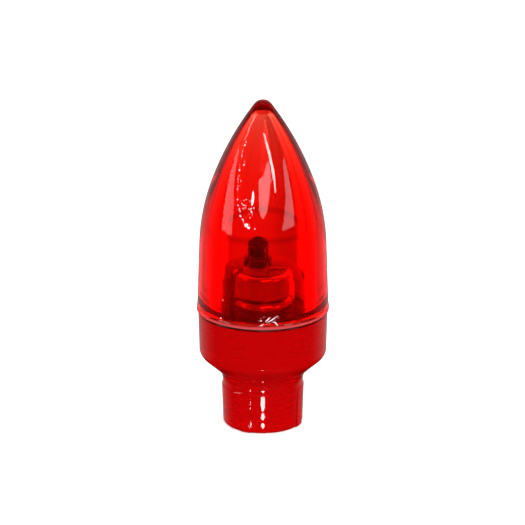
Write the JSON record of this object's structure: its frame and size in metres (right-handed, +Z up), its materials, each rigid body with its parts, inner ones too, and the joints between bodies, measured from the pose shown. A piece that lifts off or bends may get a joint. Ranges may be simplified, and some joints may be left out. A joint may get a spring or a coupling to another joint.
{
  "type": "lighted tyre valve cap",
  "caption": "Clear ogive cover screwed into a round base with a ribbed stem that screws onto a tyre valve; button cells and a small lamp glow through it.",
  "frame": {"origin": "centre of the stem's bottom face, at the mouth of the valve socket", "axes": "+Z up along the cap's axis, towards the cover's tip; -Y faces the picture's camera"},
  "size_m": [0.018, 0.018, 0.0458],
  "materials": {
    "cover_plastic": "clear gloss, tinted through",
    "base_plastic": "clear gloss, tinted through",
    "seal_rubber": "soft satin",
    "holder_plastic": "milky, tinted by the cover",
    "cell_steel": "nickel plated",
    "contact_steel": "nickel plated",
    "pin_brass": "bright",
    "ring_plastic": "matt",
    "lamp_lens": "clear gloss, tinted through",
    "lead_wire": "tinned",
    "sleeve_plastic": "matt"
  },
  "bodies": {
    "base": {"base": "base_plastic", "cell_holder": "holder_plastic", "contact_plate": "contact_steel", "switch_spring": "contact_steel", "insulating_ring": "ring_plastic", "switch_pin": "pin_brass", "cell_lower": "cell_steel", "cell_middle": "cell_steel", "cell_upper": "cell_steel", "lamp_lens": "lamp_lens", "top_lead": "lead_wire", "side_lead": "lead_wire", "lead_sleeve": "sleeve_plastic"},
    "seal": {"seal_ring": "seal_rubber"},
    "cover": {"cover": "cover_plastic"}
  },
  "joints": [
    {"name": "cover_rise", "type": "slide", "parent": "base", "child": "seal", "axis": [0, 0, 1], "range_m": [0, 0.0052]},
    {"name": "cover_turn", "type": "hinge", "parent": "seal", "child": "cover", "pos_m": [0, 0, 0.0162], "axis": [0, 0, 1], "range_deg": [0, 2496]}
  ],
  "couplings": [
    {"joint": "cover_turn", "follows": "cover_rise", "rad_per_m": 8377.6}
  ]
}
